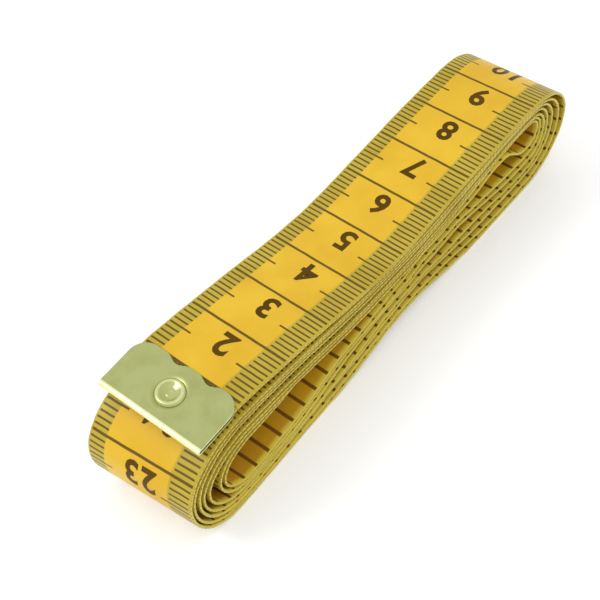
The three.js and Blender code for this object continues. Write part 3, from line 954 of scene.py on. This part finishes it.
def coated_cloth(name, draw, thread_share, gloss=VINYL_GLOSS):
    material = empty_material(name)
    flat_place = add(material, "ShaderNodeUVMap", uv_map="strip_mm")
    flat_parts = add(material, "ShaderNodeSeparateXYZ", {0: flat_place.outputs[0]})
    along, across = flat_parts.outputs[0], flat_parts.outputs[1]
    object_place = add(material, "ShaderNodeTexCoord").outputs["Object"]
    patch_noise = add(material, "ShaderNodeTexNoise", {
        "Vector": object_place, "Scale": 1 / (PATCH_SIZE * MM), "Detail": 3.0})
    patches = add(material, "ShaderNodeMapRange", {
        "Value": patch_noise.outputs["Fac"],
        "From Min": PATCH_EDGES[0], "From Max": PATCH_EDGES[1]}).outputs[0]
    wander_noise = add(material, "ShaderNodeTexNoise", {
        "Vector": object_place, "Scale": 1 / (PRINT_STRAY_SIZE * MM), "Detail": 1.0})
    wander = add(material, "ShaderNodeMath", {
        0: wander_noise.outputs["Fac"], 1: PRINT_STRAY, 2: along},
        operation="MULTIPLY_ADD").outputs[0]
    colour = draw(material, wander, across, patches)
    threads = []
    for place in (along, across):
        turns = add(material, "ShaderNodeMath", {0: place, 1: 2 * math.pi / THREAD_SPACING},
                    operation="MULTIPLY")
        threads.append(add(material, "ShaderNodeMath", {0: turns.outputs[0]}, operation="SINE"))
    weave = add(material, "ShaderNodeMath", {0: threads[0].outputs[0], 1: threads[1].outputs[0]},
                operation="ADD").outputs[0]
    shade = add(material, "ShaderNodeMapRange", {
        "Value": weave, "From Min": -2, "From Max": 2,
        "To Min": 1 - thread_share, "To Max": 1 + thread_share / 2}).outputs[0]
    shaded = add(material, "ShaderNodeVectorMath", {0: colour, "Scale": shade}, operation="SCALE")
    bump = add(material, "ShaderNodeBump", {
        "Height": weave, "Strength": 0.3, "Distance": WEAVE_HEIGHT * MM})
    roughness = add(material, "ShaderNodeMapRange", {
        "Value": patches, "To Min": VINYL_ROUGHNESS[0], "To Max": VINYL_ROUGHNESS[1]})
    surface = add(material, "ShaderNodeBsdfPrincipled", {
        "Base Color": shaded.outputs[0], "Roughness": roughness.outputs[0], "IOR": VINYL_IOR,
        "Specular IOR Level": gloss, "Normal": bump.outputs[0]})
    add(material, "ShaderNodeOutputMaterial", {"Surface": surface.outputs[0]})
    return material


print("threads to the centimetre:", 10 / THREAD_SPACING)

# %% The strip's finishes
def cut_edge(material, along, across, patches):
    ground = mixed(material, patches, linear("#E4D262"), linear("#D4C052"))
    ink_ends = marks(material, along, across, 1, 0.2, 30, 0.1)
    return mixed(material, ink_ends, ground, linear("#8A7628"))


def printing_ink(material, along, across, patches):
    return mixed(material, patches, linear("#533A06"), linear("#5E440A"))


strip_finishes = {
    PRINTED: coated_cloth("coated_cloth_centimetre_face", centimetre_scale, 0.02),
    REVERSE: coated_cloth("coated_cloth_inch_face", inch_scale, 0.02),
    EDGE: coated_cloth("coated_cloth_cut_edge", cut_edge, 0.22),
}
ink_finish = coated_cloth("printing_ink_on_vinyl", printing_ink, 0.04, INK_GLOSS)
for piece in strip:
    for finish in (PRINTED, REVERSE, EDGE):
        piece.data.materials.append(strip_finishes[finish])
for piece in numbers:
    for _ in (PRINTED, REVERSE):  # a film keeps the number of the face that it lies on
        piece.data.materials.append(ink_finish)
print("finishes on the strip:", [m.name for m in strip[0].data.materials])

# %% [markdown]
# ### The metal of the tips
#
# Brass-plated steel sheet, bright but handled: it mirrors the light softly, with a fine
# grain left from rolling and a few dull patches from fingers. A metal's colour is the
# colour of its reflections, so the plate is made pale and the rest comes from the room.

# %% Brass-plated steel for the tips and the eyelets
ROLLING_GRAIN, GRAIN_STRETCH = 0.12, 0.12  # drawn coarser than real grain, so that it shows
FINGER_PATCH, DULL_EDGES, DULL_ROUGHER = 3.0, (0.4, 0.7), 0.12
GRAIN_HEIGHT = 0.02


def plated_steel(name, pale, dull, roughness):
    material = empty_material(name)
    place = add(material, "ShaderNodeTexCoord").outputs["Object"]
    stretched = add(material, "ShaderNodeMapping", {
        "Vector": place, "Scale": (1, GRAIN_STRETCH, 1)})
    grain = add(material, "ShaderNodeTexNoise", {
        "Vector": stretched.outputs[0], "Scale": 1 / (ROLLING_GRAIN * MM), "Detail": 2.0})
    handled = add(material, "ShaderNodeTexNoise", {
        "Vector": place, "Scale": 1 / (FINGER_PATCH * MM), "Detail": 4.0})
    dulled = add(material, "ShaderNodeMapRange", {
        "Value": handled.outputs["Fac"],
        "From Min": DULL_EDGES[0], "From Max": DULL_EDGES[1]}).outputs[0]
    colour = mixed(material, dulled, linear(pale), linear(dull))
    rough = add(material, "ShaderNodeMapRange", {
        "Value": dulled, "To Min": roughness, "To Max": roughness + DULL_ROUGHER})
    bump = add(material, "ShaderNodeBump", {
        "Height": grain.outputs["Fac"], "Strength": 0.25, "Distance": GRAIN_HEIGHT * MM})
    surface = add(material, "ShaderNodeBsdfPrincipled", {
        "Base Color": colour, "Metallic": 1.0, "Roughness": rough.outputs[0],
        "Normal": bump.outputs[0]})
    add(material, "ShaderNodeOutputMaterial", {"Surface": surface.outputs[0]})
    return material


tip_metal = plated_steel("plated_steel_tip", "#B4BA7C", "#A9AE70", 0.34)
# paler metal for the fold, rims and bevels: partly wear, partly a painted highlight
wear_and_highlight_metal = plated_steel("plated_steel_worn_with_painted_highlight", "#F0F2BC", "#DFE2A4", 0.36)
eyelet_metal = plated_steel("plated_steel_eyelet", "#BEC284", "#AEB272", 0.20)
# the eyelet's crest: paler metal, partly wear and partly a painted highlight
crest_highlight_metal = plated_steel("plated_steel_eyelet_crest_highlight", "#D8DCA2", "#CACE92", 0.24)
# a dark lip painted where the scallops' edge would throw shade on the strip
crimp_shade_metal = plated_steel("painted_shade_crimp_lip", "#6A5A20", "#4A3E14", 0.55)
for piece in tips:
    for finish in (tip_metal, crimp_shade_metal, wear_and_highlight_metal):
        piece.data.materials.append(finish)
for piece in rivets:
    for finish in (eyelet_metal, crest_highlight_metal):
        piece.data.materials.append(finish)
print("metals:", tip_metal.name, eyelet_metal.name)

# %% [markdown]
# ## Dressing the frame
#
# Each piece takes the place of its plain CAD solid. The tips, the eyelets and the coil's
# stretches ride on the body that carries them. The free end bends where it leaves the coil,
# but its strip and numbers are only fixed in place, on no body.

for piece in (strip[0], numbers[0]):
    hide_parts("tape_free_end")
    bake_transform(piece)
for piece in strip[1:] + numbers[1:]:
    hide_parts("tape_coil")
    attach(piece, "coil")
for piece, node, body in (
        (outer_tip, "outer_tip", "free_end"), (outer_rivet, "outer_tip_rivet", "free_end"),
        (inner_tip, "inner_tip", "coil"), (inner_rivet, "inner_tip_rivet", "coil")):
    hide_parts(node)
    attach(piece, body)

# %% Say what lengths of strip were cut
for piece, ink, start, end in zip(strip, numbers, CUTS, CUTS[1:]):
    print(piece.name, round(end - start, 1), "mm")

# %% [markdown]
# ## Floor, light and camera
#
# A white floor, a soft lamp to the left behind the coil and a sky that is brighter above
# than at the horizon, as under a large white umbrella. The sky lights the shaded sides, the
# lamp gives the soft shadow on the right and, with the paler metal painted on the fold as a
# highlight, the bright line along the fold of the tip. The camera and the metal see both
# floor and sky as plain white.

# %% A white floor
FLOOR_HALF, FLOOR_DROP = 1.5, 0.05 * MM  # it lies a hair below the lowest ink
floor_mesh = bpy.data.meshes.new("floor")
bm = bmesh.new()
bmesh.ops.create_grid(bm, x_segments=1, y_segments=1, size=FLOOR_HALF)
bmesh.ops.translate(bm, vec=(0, 0, -FLOOR_DROP), verts=bm.verts)
bm.to_mesh(floor_mesh)
bm.free()
floor = bpy.data.objects.new("floor", floor_mesh)
bpy.context.scene.collection.objects.link(floor)
print("floor:", round(floor.dimensions.x, 1), "m")

# %% White paper for the floor
FLOOR_GLOW = 0.28
PAPER_GREY = 0.86


def plainly_seen(owner):
    """1 on rays from the camera, and on those that a surface mirrors or lets through."""
    rays = add(owner, "ShaderNodeLightPath").outputs
    seen = rays["Is Camera Ray"]
    for kind in ("Is Glossy Ray", "Is Transmission Ray"):
        seen = add(owner, "ShaderNodeMath", {0: seen, 1: rays[kind]},
                   operation="ADD", use_clamp=True).outputs[0]
    return seen


paper = empty_material("white_paper")
strength = add(paper, "ShaderNodeMath", {0: plainly_seen(paper), 1: FLOOR_GLOW},
               operation="MULTIPLY")
glow = add(paper, "ShaderNodeEmission", {"Color": (1, 1, 1, 1), "Strength": strength.outputs[0]})
matt = add(paper, "ShaderNodeBsdfDiffuse", {"Color": (PAPER_GREY, PAPER_GREY, PAPER_GREY, 1)})
both = add(paper, "ShaderNodeAddShader", {0: matt.outputs[0], 1: glow.outputs[0]})
add(paper, "ShaderNodeOutputMaterial", {"Surface": both.outputs[0]})
floor_mesh.materials.append(paper)
print("floor's finish:", paper.name)

# %% The sky
SKY_LOW, SKY_HIGH = 0.75, 0.98  # its strength at the horizon and straight above
world = bpy.data.worlds.new("studio")
world.use_nodes = True
world.node_tree.nodes.clear()
direction = add(world, "ShaderNodeTexCoord").outputs["Generated"]
upward = add(world, "ShaderNodeSeparateXYZ", {0: direction}).outputs["Z"]
light = add(world, "ShaderNodeMapRange", {
    "Value": upward, "To Min": SKY_LOW, "To Max": SKY_HIGH}).outputs[0]
strength = add(world, "ShaderNodeMapRange", {
    "Value": plainly_seen(world), "To Min": light, "To Max": 1.0})
sky = add(world, "ShaderNodeBackground", {"Color": (1, 1, 1, 1), "Strength": strength.outputs[0]})
add(world, "ShaderNodeOutputWorld", {"Surface": sky.outputs[0]})
bpy.context.scene.world = world
print("the sky's strength:", SKY_LOW, "to", SKY_HIGH)

# %% The lamp
LAMP_PLACE, LAMP_SIZE, LAMP_POWER = Vector((-0.34, 0.30, 0.40)), 0.19, 0.9
lamp_data = bpy.data.lights.new("window", "AREA")
lamp_data.size = LAMP_SIZE
lamp_data.energy = LAMP_POWER
lamp = bpy.data.objects.new("window", lamp_data)
lamp.location = LAMP_PLACE
lamp.rotation_euler = (-LAMP_PLACE).to_track_quat("-Z", "Y").to_euler()
bpy.context.scene.collection.objects.link(lamp)
print("lamp at", round(LAMP_PLACE.length, 2), "m")

# %% The camera stands where the photograph was taken
CAMERA_PLACE = Vector((-108.0, -73.62, 161.97)) * MM
CAMERA_AIM = Vector((-10.89, 2.66, 8.0)) * MM
LENS, SENSOR_WIDTH, NEAREST = 70.75, 36, 0.01
camera_data = bpy.data.cameras.new("camera")
camera_data.lens, camera_data.sensor_width = LENS, SENSOR_WIDTH
camera_data.clip_start = NEAREST
camera = bpy.data.objects.new("camera", camera_data)
camera.location = CAMERA_PLACE
camera.rotation_euler = (CAMERA_AIM - CAMERA_PLACE).to_track_quat("-Z", "Y").to_euler()
bpy.context.scene.collection.objects.link(camera)
bpy.context.scene.camera = camera
bpy.context.scene.view_settings.view_transform = "Standard"
print("camera", round((CAMERA_AIM - CAMERA_PLACE).length * 1000), "mm from its aim")
